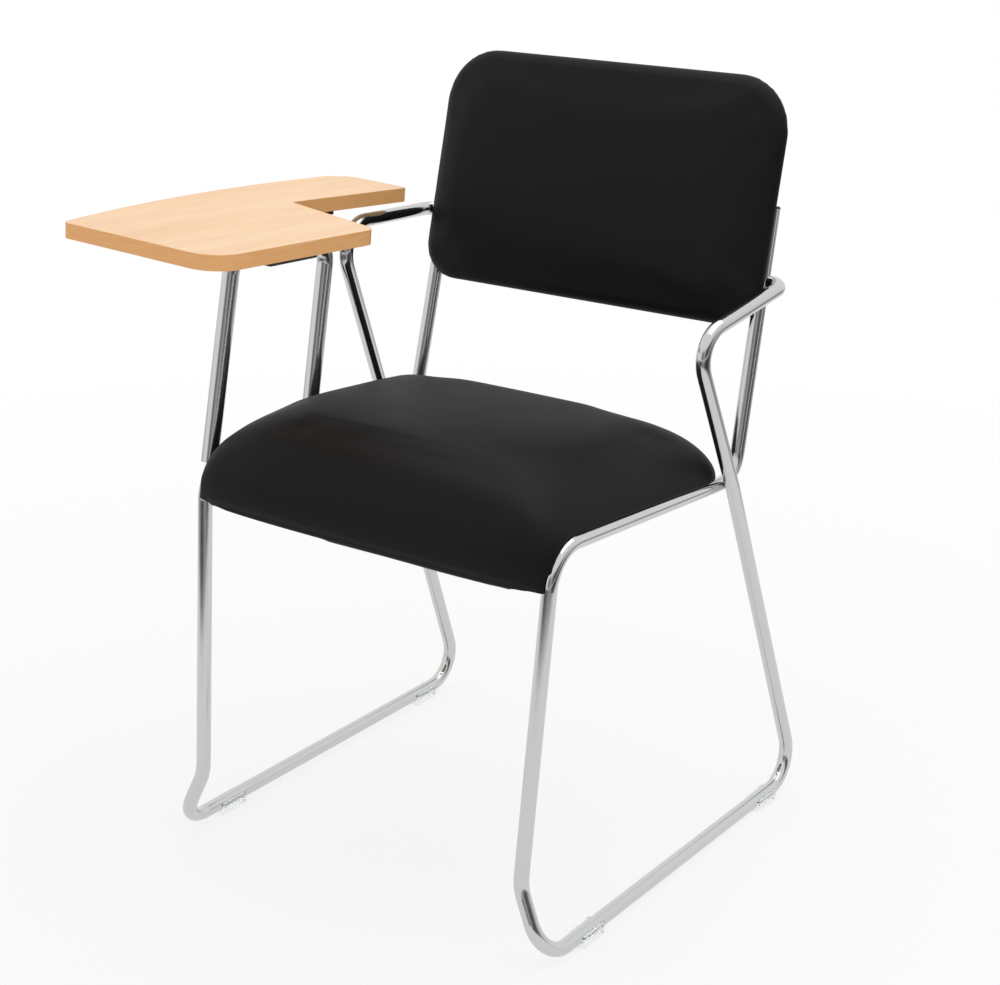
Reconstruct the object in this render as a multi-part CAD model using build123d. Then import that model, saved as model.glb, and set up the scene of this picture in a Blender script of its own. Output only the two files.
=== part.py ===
from build123d import *
import math
import os

# Training chair on a chromed sled frame, with a padded seat, a padded back and a writing tablet
# that flips up beside the sitter's right arm.
# Millimetres. The chair faces -Y, +X is the sitter's left, +Z is up, and the floor is Z = 0.
# Shapes are drawn about the seat's centre line, then moved so that the origin lies on the floor
# under the middle of the whole outline, tablet included.
CHAIR_X = 34.7           # seat's centre line in the finished frame
CHAIR_Y = 59.0

# ---- width over the seat pad, which sets the side frames, the back and the tablet post ----
SEAT_HALF_WIDTH = 230.0

# ---- tube frame: driving dimensions ----
TUBE_D = 16.0            # chromed frame tube, outside
TUBE_WALL = 1.5
GLIDE_SOLE = 3.0         # plastic between a runner and the floor
TRACK_HALF = 250.0       # chair centre to a runner's centre line
RUNNER_FRONT_Y = -281.0  # runner's front corner, before its bend
RUNNER_REAR_Y = 244.0
KNEE_IN = 13.0           # front leg's foot inside the pad's side, further in than its runner
KNEE_Y = -273.0
KNEE_Z = 84.0
RAIL_FRONT_IN = 2.5      # seat rail's front corner inside the pad's side, before its bend
RAIL_FRONT_Y = -235.0
RAIL_FRONT_Z = 437.0
RAIL_REAR_IN = 8.0       # seat rail's rear corner, where the upright starts
RAIL_REAR_Y = 124.0
RAIL_DROP = 27.7         # how much lower the rail's rear corner is
UPRIGHT_TOP_Z = 696.0
UPRIGHT_LEAN = 14.55     # degrees back from vertical
UPRIGHT_TOE_IN = 1.1     # degrees inwards from vertical
LEG_CROSS_Y = 93.0       # where the rear leg passes the rail's outer side
ARM_REAR_OUT = 13.0      # arm's rear corner outside the pad's side, before it curls in
ARM_FRONT_IN = {"left": 0.2, "right": 5.0}
ARM_FRONT_Y = {"left": 19.2, "right": -9.4}
ARM_FRONT_Z = {"left": 588.5, "right": 657.6}
ARM_REAR_Z = {"left": 618.0, "right": 643.0}
ARM_JOINT_BEHIND = 3.0   # arm's end behind the upright's centre line
FOOT_BEND = 38.0         # bend radii on the tube's centre line
KNEE_BEND = 50.0
SEAT_BEND = 42.0
CROSS_BEND = 150.0
ARM_BEND = 35.0
CURL_BEND = 15.0
UPRIGHT_BEND = 34.0
WELD_BITE = 0.3          # how far two welded tubes share metal
WELD_GAP = 0.02          # fit of a cross tube's saddle-cut end
CROSS_TUBE_Y = {"front": -150.0, "rear": 62.0}

# ---- glides and tube plugs ----
GLIDE_LENGTH = 42.0
GLIDE_WIDTH = 20.0
GLIDE_HEIGHT = 14.0
GLIDE_STUD_D = 5.6
GLIDE_STUD_TOP = 6.5
GLIDE_Y = {"front": -200.0, "rear": 167.0}
PLUG_CAP = 2.6
PLUG_STEM = 14.0
FIT = 0.1                # running room of a hand fit

# ---- seat pad, measured in the plane of the rails' top line ----
SEAT_REAR = 108.0
SEAT_FRONT = -257.0      # front face of the waterfall
SEAT_APRON = -55.0       # lower edge of the waterfall
SEAT_APRON_BACK = -246.2
SEAT_WALL = 8.0          # upright part of the pad's sides, below the crown
SEAT_HEIGHT = 63.0       # top of the crown
SEAT_CROWN_FULL = (1.05, 0.36)   # crown's handles across the seat: up from the side, out from the middle
SEAT_REAR_ROUND = 70.0   # how far ahead of the rear edge the crown is full
SEAT_REAR_FULL = (0.55, 0.55)
SEAT_NOSE_START = -70.0  # where the top begins to fall to the front
SEAT_NOSE_LOW = -14.0
SEAT_NOSE_FULL = (0.80, 0.80)
SEAT_REAR_CORNER = 72.0
SEAT_FRONT_CORNER = 12.0
SEAT_APRON_CORNER = 45.0
BOARD_T = 12.0           # plywood boards
COVER_T = 1.2            # leatherette
SOFT_GAP = 0.4           # between a cover and the tubes that it rests on
SEAT_BOARD_INSET = 9.0
SEAT_BOARD_FRONT = -188.0
HEM = 28.0               # cover turned under a board

# ---- back pad, measured in the plane of the uprights ----
BACK_IN = 2.0            # back pad's side inside the seat pad's
BACK_TAPER = 2.5         # narrower at the top, each side
BACK_LOW_Z = 565.5
BACK_HEIGHT = 275.0
BACK_REAR = 0.0          # rear face ahead of the uprights' centre lines
BACK_T = 27.0
BACK_TOP_CORNER = 64.0
BACK_LOW_CORNER = 58.0
BACK_EDGE_ROUND = 12.5
BACK_BOARD_T = 9.0
BACK_BOARD_INSET = 24.0
BACK_HEM = 18.0
TAB_T = 3.0              # steel tabs welded inside the uprights
TAB_HEIGHT = 22.0
TAB_LENGTH = 46.0
TAB_BOLT_IN = 52.0       # back bolts inside the seat pad's side

# ---- M6 fixings ----
BOLT_D = 6.0
BOLT_HOLE = 6.6
BOLT_HEAD_D = 11.0
BOLT_HEAD_H = 3.3
BARREL_D = 7.8           # tee nut's barrel
BARREL_HOLE = 8.0
TEE_FLANGE_D = 18.0
TEE_FLANGE_T = 1.6
SEAT_BOLT_IN = 110.0
BACK_BOLT_Z = (611.0, 671.0)

# ---- tablet and its hinge, measured in the tablet's own plane from the hinge bar's middle ----
POST_D = 19.0            # tablet loop's tube
POST_FRONT_Y = -211.0    # where the loop's posts meet the seat rail
POST_REAR_Y = -51.0
POST_FRONT_LEAN = 13.1   # degrees back from vertical
POST_REAR_LEAN = 12.4
POST_BELOW_RAIL = 7.0    # a post's end below the rail's centre line
BAR_OUT = 15.0           # hinge bar outside the seat pad's side
BAR_Y = -78.0
BAR_Z = 648.0
BAR_DROP = 3.15          # degrees down towards the rear
LOOP_BEND = 28.0
TABLET_T = 16.0
TABLET_ROLL = 2.3        # degrees down towards the sitter
EDGE_BAND_T = 1.0
TABLET_ABOVE_BAR = 30.8  # tablet's underside above the bar's centre line
FRONT_OUTER = (-57.0, -275.0)
OUTER_BULGE = (-86.0, -20.0)
REAR_OUTER = (-70.0, 184.0)
REAR_INNER = (30.0, 181.5)
NOTCH = (10.0, 2.0)
SIDE_INNER = (160.0, -37.0)
FRONT_INNER = (155.0, -277.0)
CORNER_ROUND = {"front_outer": 10.0, "rear_outer": 36.0, "rear_inner": 5.0,
                "notch": 4.0, "side_inner": 18.0, "front_inner": 34.0}
HINGE_FRONT = -35.0      # hinge block's ends along the bar
HINGE_REAR = 40.0
HINGE_BLOCK_HALF = 17.0
HINGE_BLOCK_LOW = -20.0
HINGE_BLOCK_ROUND = 4.0
CROSS_BOLT_UP = 20.0     # cross bolts above the bar's centre line
SADDLE_T = 2.5
CHEEK_LOW = -4.0
FLANGE_OUT = 45.0
INNER_FLANGE_REAR = -14.0
RUNNING_FIT = 0.05
STOP_PIN_D = 5.0
STOP_PIN_OUT = 4.0       # how far the stop pin stands out of the bar
STOP_PIN_ANGLE = -42.5   # degrees from the sitter's side, up positive
SWING = 95.0             # degrees that the tablet lifts
SCREW_D = 4.0
SCREW_HOLE = 4.2
SCREW_LENGTH = 13.0
SCREW_HEAD_D = 8.0
SCREW_HEAD_H = 2.4
CLAMP_SCREW_D = 3.5
CLAMP_SCREW_X = 13.4
CLAMP_SCREW_LENGTH = 29.0
CLAMP_HEAD_D = 6.2
CLAMP_HEAD_SUNK = 3.0
BUFFER_D = 14.0
BUFFER_T = 4.0
BUFFER_X = 9.0
BUFFER_Y = 64.0

TUBE_R = TUBE_D / 2
POST_R = POST_D / 2
KNEE_X = SEAT_HALF_WIDTH - KNEE_IN
RAIL_FRONT_X = SEAT_HALF_WIDTH - RAIL_FRONT_IN
RAIL_REAR_X = SEAT_HALF_WIDTH - RAIL_REAR_IN
ARM_REAR_X = SEAT_HALF_WIDTH + ARM_REAR_OUT
BACK_HALF_WIDTH = SEAT_HALF_WIDTH - BACK_IN
TAB_BOLT_X = SEAT_HALF_WIDTH - TAB_BOLT_IN
SEAT_BOLT_X = SEAT_HALF_WIDTH - SEAT_BOLT_IN
BAR_X = -SEAT_HALF_WIDTH - BAR_OUT
RUNNER_Z = GLIDE_SOLE + TUBE_R
SIDES = {"left": 1, "right": -1}
SLOPE = math.atan(RAIL_DROP / (RAIL_REAR_Y - RAIL_FRONT_Y))
LEAN = math.radians(UPRIGHT_LEAN)


def tube(points, radii, diameter):
    """Round rod bent along straight runs joined by arcs."""
    path = bent_path(points, radii)
    section = Plane(origin=path @ 0, z_dir=path % 0) * Circle(diameter / 2)
    return sweep(section, path=path)


def bent_path(points, radii):
    """Wire through the corner points, each inner corner replaced by its arc."""
    corners = [Vector(*point) for point in points]
    edges = []
    start = corners[0]
    for before, corner, after, radius in zip(corners, corners[1:], corners[2:], radii):
        back = (before - corner).normalized()
        ahead = (after - corner).normalized()
        half = math.radians(back.get_angle(ahead)) / 2
        run = radius / math.tan(half)
        bisector = (back + ahead).normalized()
        apex = corner + bisector * (radius / math.sin(half) - radius)
        edges.append(Edge.make_line(start, corner + back * run))
        edges.append(Edge.make_three_point_arc(corner + back * run, apex, corner + ahead * run))
        start = corner + ahead * run
    edges.append(Edge.make_line(start, corners[-1]))
    return Wire(edges)


def rod(start, end, diameter):
    """Straight round rod from start to end."""
    axis = Vector(*end) - Vector(*start)
    foot = Plane(origin=Vector(*start), z_dir=axis)
    return extrude(foot * Circle(diameter / 2), amount=axis.length)


def slab(plane, u_range, v_range, w_range):
    """Box given by its ranges along a plane's own axes."""
    size = [high - low for low, high in (u_range, v_range, w_range)]
    centre = [(high + low) / 2 for low, high in (u_range, v_range, w_range)]
    return plane * Location(tuple(centre)) * Box(*size)


def largest(shape):
    """The biggest solid of a cut, without the offcuts."""
    return max(shape.solids(), key=lambda solid: solid.volume)


def save(node, *solids):
    """Write one node's solids to its own file."""
    placed = [solid.moved(Location((CHAIR_X, CHAIR_Y, 0))) for solid in solids]
    shape = placed[0] if len(placed) == 1 else Compound(children=placed)
    shape.label = node
    export_step(shape, os.path.join("parts", node + ".step"))


# ---- side frames ----

def rail_point(side, y):
    """Point of a seat rail's centre line."""
    share = (y - RAIL_FRONT_Y) / (RAIL_REAR_Y - RAIL_FRONT_Y)
    x = RAIL_FRONT_X + (RAIL_REAR_X - RAIL_FRONT_X) * share
    return Vector(SIDES[side] * x, y, RAIL_FRONT_Z - RAIL_DROP * share)


def upright_point(side, z):
    """Point of an upright's centre line."""
    low = rail_point(side, RAIL_REAR_Y)
    rise = z - low.Z
    toe = SIDES[side] * rise * math.tan(math.radians(UPRIGHT_TOE_IN))
    return Vector(low.X - toe, low.Y + rise * math.tan(LEAN), z)


def side_rods(side, diameter, short=0.0):
    """The two lengths of a side frame as solid rods, the arm's end cut short by short."""
    s = SIDES[side]
    middle = (s * TRACK_HALF, 0.0, RUNNER_Z)
    rail = rail_point(side, LEG_CROSS_Y)
    crossing = (rail.X + s * (TUBE_D - WELD_BITE), LEG_CROSS_Y, rail.Z)
    arm = (s * (SEAT_HALF_WIDTH - ARM_FRONT_IN[side]), ARM_FRONT_Y[side], ARM_FRONT_Z[side])
    joint = upright_point(side, ARM_REAR_Z[side]) + Vector(0, ARM_JOINT_BEHIND, 0)
    front = [
        upright_point(side, UPRIGHT_TOP_Z),
        rail_point(side, RAIL_REAR_Y),
        rail_point(side, RAIL_FRONT_Y),
        (s * KNEE_X, KNEE_Y, KNEE_Z),
        (s * TRACK_HALF, RUNNER_FRONT_Y, RUNNER_Z),
        middle,
    ]
    rear = [
        middle,
        (s * TRACK_HALF, RUNNER_REAR_Y, RUNNER_Z),
        crossing,
        arm,
        (s * ARM_REAR_X, joint.Y, joint.Z),
        joint + Vector(s * short, 0, 0),
    ]
    front_rod = tube(front, [UPRIGHT_BEND, SEAT_BEND, KNEE_BEND, FOOT_BEND], diameter)
    rear_rod = tube(rear, [FOOT_BEND, CROSS_BEND, ARM_BEND, CURL_BEND], diameter)
    return front_rod, rear_rod


def back_tab(side, z):
    """Steel tab welded to the inner side of an upright, behind the back pad."""
    s = SIDES[side]
    axis = upright_point(side, z)
    height = (axis - back_plane.origin).dot(back_plane.y_dir)
    inner = abs(axis.X) - TUBE_R + WELD_BITE
    ends = sorted((s * inner, s * (inner - TAB_LENGTH)))
    tab = slab(back_plane, ends, (height - TAB_HEIGHT / 2, height + TAB_HEIGHT / 2),
               (BACK_REAR - SOFT_GAP - TAB_T, BACK_REAR - SOFT_GAP))
    hole = back_plane * Location((s * TAB_BOLT_X, height, 0)) * Cylinder(BOLT_HOLE / 2, TUBE_D * 2)
    return tab - hole


def side_frame(side):
    """One side: tube from the upright's top to the arm's end, welded where it passes itself."""
    front, rear = side_rods(side, TUBE_D)
    front_bore, rear_bore = side_rods(side, TUBE_D - 2 * TUBE_WALL, TUBE_R)
    body = front + rear - front_bore - rear_bore
    for y in GLIDE_Y.values():
        x = SIDES[side] * TRACK_HALF
        body -= rod((x, y, RUNNER_Z), (x, y, RUNNER_Z - TUBE_D), GLIDE_STUD_D + 2 * FIT)
    for z in BACK_BOLT_Z:
        body += back_tab(side, z)
    return body


seat_up = Vector(0, math.sin(SLOPE), math.cos(SLOPE))
seat_plane = Plane(origin=Vector(0, 0, rail_point("left", 0).Z) + seat_up * TUBE_R,
                   x_dir=(1, 0, 0), z_dir=seat_up)
back_ahead = Vector(0, -math.cos(LEAN), math.sin(LEAN))
back_plane = Plane(origin=Vector(0, upright_point("left", BACK_LOW_Z).Y, BACK_LOW_Z),
                   x_dir=(1, 0, 0), z_dir=back_ahead)
hinge_axis = Vector(0, -math.cos(math.radians(BAR_DROP)), math.sin(math.radians(BAR_DROP)))
tablet_up = Vector(math.tan(math.radians(TABLET_ROLL)), math.tan(math.radians(BAR_DROP)), 1)
tablet_plane = Plane(origin=(BAR_X, BAR_Y, BAR_Z), x_dir=tablet_up.cross(hinge_axis),
                     z_dir=tablet_up)


def cross_tube(place):
    """Straight tube between the two seat rails, its ends cut to fit round them."""
    right = rail_point("right", CROSS_TUBE_Y[place])
    left = rail_point("left", CROSS_TUBE_Y[place])
    body = rod(right, left, TUBE_D) - rod(right, left, TUBE_D - 2 * TUBE_WALL)
    for side in SIDES:
        y = CROSS_TUBE_Y[place]
        saddle_d = TUBE_D + 2 * WELD_GAP
        body -= rod(rail_point(side, y - TUBE_D), rail_point(side, y + TUBE_D), saddle_d)
    for x in (-SEAT_BOLT_X, SEAT_BOLT_X):
        point = Vector(x, left.Y, left.Z)
        body -= rod(point - seat_up * TUBE_D, point + seat_up * TUBE_D, BOLT_HOLE)
    return largest(body)


def glide(side, y):
    """Clip-on glide: a saddle under the runner with a stud up into the tube."""
    x = SIDES[side] * TRACK_HALF
    block = Location((x, y, GLIDE_HEIGHT / 2)) * Box(GLIDE_WIDTH, GLIDE_LENGTH, GLIDE_HEIGHT)
    block = fillet(block.edges().filter_by(Axis.Z), 4)
    block = chamfer(block.edges().group_by(Axis.Z)[0], 1)
    block -= rod((x, y - GLIDE_LENGTH, RUNNER_Z), (x, y + GLIDE_LENGTH, RUNNER_Z), TUBE_D + FIT)
    stud = rod((x, y, GLIDE_SOLE / 2), (x, y, GLIDE_SOLE + GLIDE_STUD_TOP), GLIDE_STUD_D)
    return block + stud


def upright_plug(side):
    """Push-in plug in an upright's open top."""
    top = upright_point(side, UPRIGHT_TOP_Z)
    seat = Plane(origin=top, z_dir=top - rail_point(side, RAIL_REAR_Y))
    cap = Cylinder(TUBE_R, PLUG_CAP, align=(Align.CENTER, Align.CENTER, Align.MIN))
    cap = fillet(cap.edges().group_by(Axis.Z)[-1], 1.8)
    stem = Cylinder(TUBE_R - TUBE_WALL - FIT, PLUG_STEM,
                    align=(Align.CENTER, Align.CENTER, Align.MAX))
    return seat * (cap + stem)


# ---- seat pad ----

def swell(low, top, rise, reach):
    """Curve of stretched leather from an upright edge at low to a level crown at top."""
    (u0, w0), (u1, w1) = low, top
    return Bezier(low, (u0, w0 + (w1 - w0) * rise), (u1 + (u0 - u1) * reach, w1), top)


def seat_side_face(skin):
    """The seat pad's outline from the side: y along the rails, z up from them."""
    top = SEAT_HEIGHT - skin
    front = SEAT_FRONT + skin
    low = SEAT_APRON + skin
    under = SOFT_GAP + skin
    rear = SEAT_REAR - skin
    apron_back = SEAT_APRON_BACK - skin
    full = SEAT_REAR - SEAT_REAR_ROUND
    nose = swell((front, SEAT_NOSE_LOW), (SEAT_NOSE_START, top), *SEAT_NOSE_FULL)
    heel = swell((rear, SEAT_WALL), (full, top), *SEAT_REAR_FULL)
    crown = Line((SEAT_NOSE_START, top), (full, top))
    rest = Polyline((front, SEAT_NOSE_LOW), (front, low), (apron_back, low),
                    (apron_back, under), (rear, under), (rear, SEAT_WALL))
    face = make_face([nose, crown, heel, rest])
    inner = face.vertices().sort_by_distance((apron_back, under, 0))[0]
    return fillet(inner, SEAT_BEND + TUBE_R + SOFT_GAP + skin)


def seat_cross_face(skin):
    """The seat pad's outline from the front, above its side walls."""
    half = SEAT_HALF_WIDTH - skin
    low = SEAT_APRON + skin
    top = (0, SEAT_HEIGHT - skin)
    halves = [swell((x, SEAT_WALL), top, *SEAT_CROWN_FULL) for x in (-half, half)]
    rest = Polyline((half, SEAT_WALL), (half, low), (-half, low), (-half, SEAT_WALL))
    face = make_face(halves + [rest])
    return fillet(face.vertices().group_by(Axis.Y)[0], SEAT_APRON_CORNER - skin)


def seat_form(skin):
    """The seat pad's outer form, moved inwards by skin on every face."""
    half = SEAT_HALF_WIDTH - skin
    side = Plane(origin=(-half, 0, 0), x_dir=(0, 1, 0), z_dir=(1, 0, 0))
    pad = extrude(side * seat_side_face(skin), amount=2 * half)
    depth = SEAT_REAR - SEAT_FRONT
    across = Plane(origin=(0, SEAT_REAR, 0), x_dir=(1, 0, 0), z_dir=(0, -1, 0))
    pad &= extrude(across * seat_cross_face(skin), amount=depth)
    middle = (SEAT_REAR + SEAT_FRONT) / 2
    tall = 2 * (SEAT_HEIGHT - SEAT_APRON)
    plan = Location((0, middle, 0)) * Box(2 * half, depth - 2 * skin, tall)
    uprights = plan.edges().filter_by(Axis.Z).group_by(Axis.Y)
    plan = fillet(uprights[-1], SEAT_REAR_CORNER - skin)
    plan = fillet(plan.edges().filter_by(Axis.Z).group_by(Axis.Y)[0], SEAT_FRONT_CORNER - skin)
    return seat_plane * (pad & plan)


def cushion_shell(form, slot):
    """Cover of even thickness around a pad, open underneath where the hem ends."""
    return form(0) - form(COVER_T) - slot


def seat_board_form(grow):
    """Plywood base under the seat foam."""
    half = SEAT_HALF_WIDTH - COVER_T - SEAT_BOARD_INSET + grow
    rear = SEAT_REAR - COVER_T - SEAT_BOARD_INSET + grow
    low = SOFT_GAP + COVER_T
    board = slab(Plane.XY, (-half, half), (SEAT_BOARD_FRONT - grow, rear), (low, low + BOARD_T + grow))
    corners = board.edges().filter_by(Axis.Z).group_by(Axis.Y)[-1]
    return seat_plane * fillet(corners, SEAT_REAR_CORNER - SEAT_BOARD_INSET)


def seat_fixing_points():
    """Centres of the seat bolts, as places along the seat plane."""
    places = []
    for y in CROSS_TUBE_Y.values():
        axis = rail_point("left", y)
        along = (axis - seat_plane.origin).dot(seat_plane.y_dir)
        places += [(-SEAT_BOLT_X, along), (SEAT_BOLT_X, along)]
    return places


def tee_nut(plane, x, y, low, depth):
    """Tee nut: flange against a board's soft side, threaded barrel down into it."""
    flange = slot_disc(plane, x, y, low + depth, TEE_FLANGE_T, TEE_FLANGE_D)
    barrel = slot_disc(plane, x, y, low + 2, depth - 2, BARREL_D)
    return flange + barrel - slot_disc(plane, x, y, low, depth + TEE_FLANGE_T, BOLT_D)


def slot_disc(plane, x, y, low, height, diameter):
    """Upright cylinder standing on a plane's own x, y at height low."""
    return plane * Location((x, y, low + height / 2)) * Cylinder(diameter / 2, height)


def hex_bolt(plane, x, y, head_face, tip):
    """M6 pan-head bolt: its head under head_face, its tip at the other end."""
    shank = slot_disc(plane, x, y, head_face, tip - head_face, BOLT_D)
    head = Location((0, 0, -BOLT_HEAD_H / 2)) * Cylinder(BOLT_HEAD_D / 2, BOLT_HEAD_H)
    head = fillet(head.edges().group_by(Axis.Z)[0], 1.6)
    drive = Location((0, 0, -BOLT_HEAD_H)) * extrude(RegularPolygon(2.3, 6), amount=1.8)
    return shank + plane * Location((x, y, head_face)) * (head - drive)


# ---- back pad ----

def back_outline(skin):
    """Back pad seen from the front, in the back plane."""
    low_half = BACK_HALF_WIDTH - skin
    top_half = low_half - BACK_TAPER
    face = make_face(Polyline((-low_half, skin), (low_half, skin), (top_half, BACK_HEIGHT - skin),
                              (-top_half, BACK_HEIGHT - skin), close=True))
    corners = face.vertices().group_by(Axis.Y)
    face = fillet(corners[0], BACK_LOW_CORNER - skin)
    tops = face.vertices().group_by(Axis.Y)[-1]
    return fillet(tops, BACK_TOP_CORNER - skin)


def back_form(skin):
    """The back pad's outer form, moved inwards by skin; the uprights bed into its rear face."""
    pad = Location((0, 0, BACK_REAR + skin)) * extrude(back_outline(skin), amount=BACK_T - 2 * skin)
    rims = pad.edges().group_by(Axis.Z)
    pad = fillet(rims[0] + rims[-1], BACK_EDGE_ROUND - skin)
    pad = back_plane * pad
    reach = PLUG_CAP + SOFT_GAP + skin
    for side in SIDES:
        low = upright_point(side, BACK_LOW_Z - 20)
        top = upright_point(side, UPRIGHT_TOP_Z)
        end = top + (top - low).normalized() * reach
        pad -= rod(low, end, TUBE_D + 2 * (SOFT_GAP + skin))
    return pad


def back_board_form(grow):
    """Plywood board just inside the back pad's rear skin."""
    outline = offset(back_outline(0), -(BACK_BOARD_INSET - grow))
    board = Location((0, 0, BACK_REAR + COVER_T)) * extrude(outline, amount=BACK_BOARD_T + grow)
    return back_plane * board


def back_fixing_points():
    """Centres of the back bolts, as places along the back plane."""
    places = []
    for z in BACK_BOLT_Z:
        height = (upright_point("left", z) - back_plane.origin).dot(back_plane.y_dir)
        places += [(-TAB_BOLT_X, height), (TAB_BOLT_X, height)]
    return places


# ---- tablet ----

def tablet_outline(inset):
    """Tablet seen from above: a writing end in front and an elbow rest behind."""
    outer = ThreePointArc(FRONT_OUTER, OUTER_BULGE, REAR_OUTER)
    rest = Polyline(REAR_OUTER, REAR_INNER, NOTCH, SIDE_INNER, FRONT_INNER, FRONT_OUTER)
    face = make_face([outer, rest])
    places = {"front_outer": FRONT_OUTER, "rear_outer": REAR_OUTER, "rear_inner": REAR_INNER,
              "notch": NOTCH, "side_inner": SIDE_INNER, "front_inner": FRONT_INNER}
    for name, place in places.items():
        corner = face.vertices().sort_by_distance((place[0], place[1], 0))[0]
        face = fillet(corner, CORNER_ROUND[name])
    return offset(face, -inset) if inset else face


def tablet_slab(inset):
    """Tablet board of full thickness, its edge moved in by inset."""
    lift = Location((0, 0, TABLET_ABOVE_BAR))
    return tablet_plane * lift * extrude(tablet_outline(inset), amount=TABLET_T)


def loop_points():
    """Corner points of the inverted-U tube that carries the tablet."""
    feet = []
    tops = []
    for y, degrees in ((POST_FRONT_Y, POST_FRONT_LEAN), (POST_REAR_Y, POST_REAR_LEAN)):
        rail = rail_point("right", y)
        lean = math.tan(math.radians(degrees))
        foot = Vector(rail.X - TUBE_R - POST_R, y, rail.Z - POST_BELOW_RAIL)
        along = foot.Y + (BAR_Z - foot.Z) * lean - BAR_Y
        fall = along * math.tan(math.radians(BAR_DROP))
        feet.append(foot)
        tops.append(Vector(BAR_X, BAR_Y + along - fall * lean, BAR_Z - fall))
    return [feet[0], tops[0], tops[1], feet[1]]


def loop_rod(diameter):
    """Tablet loop as a solid rod."""
    return tube(loop_points(), [LOOP_BEND, LOOP_BEND], diameter)


def pin_direction():
    """Direction of the stop pin out of the hinge bar."""
    angle = math.radians(STOP_PIN_ANGLE)
    return tablet_plane.x_dir * math.cos(angle) + tablet_plane.z_dir * math.sin(angle)


def hinge_middle():
    """Centre of the hinge block on the bar's centre line."""
    return tablet_plane.origin + tablet_plane.y_dir * (HINGE_FRONT + HINGE_REAR) / 2


def stop_slot():
    """Arc in the hinge block that the stop pin travels through."""
    depth = POST_R + STOP_PIN_OUT + 0.5
    width = STOP_PIN_D + 2 * FIT
    arc = Rotation(0, 0, STOP_PIN_ANGLE - SWING) * Cylinder(
        depth, width, arc_size=SWING, align=(Align.NONE, Align.NONE, Align.CENTER))
    for angle in (STOP_PIN_ANGLE - SWING, STOP_PIN_ANGLE):
        arc += Rotation(0, 0, angle) * Rotation(0, 90, 0) * Cylinder(
            width / 2, depth, align=(Align.CENTER, Align.CENTER, Align.MIN))
    return Plane(origin=hinge_middle(), x_dir=tablet_plane.x_dir, z_dir=hinge_axis) * arc


def hinge_half(upper):
    """Half of the nylon block that is clamped round the bar."""
    half = HINGE_BLOCK_HALF
    heights = (0, TABLET_ABOVE_BAR - SADDLE_T) if upper else (HINGE_BLOCK_LOW, 0)
    block = slab(Plane.XY, (-half, half), (HINGE_FRONT, HINGE_REAR), heights)
    if not upper:
        block = fillet(block.edges().filter_by(Axis.Y).group_by(Axis.Z)[0], HINGE_BLOCK_ROUND)
    block = tablet_plane * block
    along = tablet_plane.y_dir * (HINGE_REAR - HINGE_FRONT)
    block -= rod(tablet_plane.origin - along, tablet_plane.origin + along,
                 POST_D + 2 * RUNNING_FIT)
    block -= stop_slot()
    for x, y in clamp_points():
        block -= slot_disc(tablet_plane, x, y, HINGE_BLOCK_LOW, CLAMP_SCREW_LENGTH + 4,
                           CLAMP_SCREW_D + FIT)
        block -= slot_disc(tablet_plane, x, y, HINGE_BLOCK_LOW, CLAMP_HEAD_SUNK, CLAMP_HEAD_D + 0.4)
    return largest(block)


def clamp_points():
    """Places of the screws that clamp the two block halves together."""
    return [(x, y) for x in (-CLAMP_SCREW_X, CLAMP_SCREW_X) for y in (HINGE_FRONT + 8, HINGE_REAR - 8)]


def clamp_screw(x, y):
    """Screw up through the lower block half into the upper one."""
    seat = HINGE_BLOCK_LOW + CLAMP_HEAD_SUNK
    shank = slot_disc(tablet_plane, x, y, seat, CLAMP_SCREW_LENGTH - CLAMP_HEAD_SUNK, CLAMP_SCREW_D)
    head_height = CLAMP_HEAD_SUNK - 0.6
    return shank + slot_disc(tablet_plane, x, y, seat - head_height, head_height, CLAMP_HEAD_D)


def hinge_saddle():
    """Pressed-steel channel over the hinge block, its flanges screwed to the tablet."""
    top = TABLET_ABOVE_BAR
    under = top - SADDLE_T
    out = HINGE_BLOCK_HALF + SADDLE_T
    web = slab(tablet_plane, (-out, out), (HINGE_FRONT, HINGE_REAR), (under, top))
    cheeks = [slab(tablet_plane, (x, x + SADDLE_T), (HINGE_FRONT, HINGE_REAR), (CHEEK_LOW, under))
              for x in (-out, HINGE_BLOCK_HALF)]
    outer = slab(tablet_plane, (-FLANGE_OUT, -out), (HINGE_FRONT, HINGE_REAR), (under, top))
    inner = slab(tablet_plane, (out, FLANGE_OUT), (HINGE_FRONT, INNER_FLANGE_REAR), (under, top))
    body = web + cheeks[0] + cheeks[1] + outer + inner
    for x, y in tablet_screw_points():
        body -= slot_disc(tablet_plane, x, y, under - 1, SADDLE_T + 2, SCREW_HOLE)
    for y in (HINGE_FRONT + 18, HINGE_REAR - 18):
        body -= cross_hole(y, out + 1, 5.2)
    return body


def cross_hole(y, reach, diameter):
    """Hole or rod across the hinge, above the bar."""
    centre = tablet_plane.origin + tablet_plane.y_dir * y + tablet_plane.z_dir * CROSS_BOLT_UP
    side = tablet_plane.x_dir * reach
    return rod(centre - side, centre + side, diameter)


def tablet_screw_points():
    """Places of the screws through the saddle's flanges."""
    x = FLANGE_OUT - 9
    inner = [(x, HINGE_FRONT + 6), (x, INNER_FLANGE_REAR - 6)]
    return [(-x, HINGE_FRONT + 8), (-x, HINGE_REAR - 8)] + inner


def tablet_screw(x, y):
    """Pan-head screw up through a flange into the tablet."""
    under = TABLET_ABOVE_BAR - SADDLE_T
    shank = slot_disc(tablet_plane, x, y, under, SCREW_LENGTH, SCREW_D)
    head = slot_disc(tablet_plane, x, y, under - SCREW_HEAD_H, SCREW_HEAD_H, SCREW_HEAD_D)
    return shank + head


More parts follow.
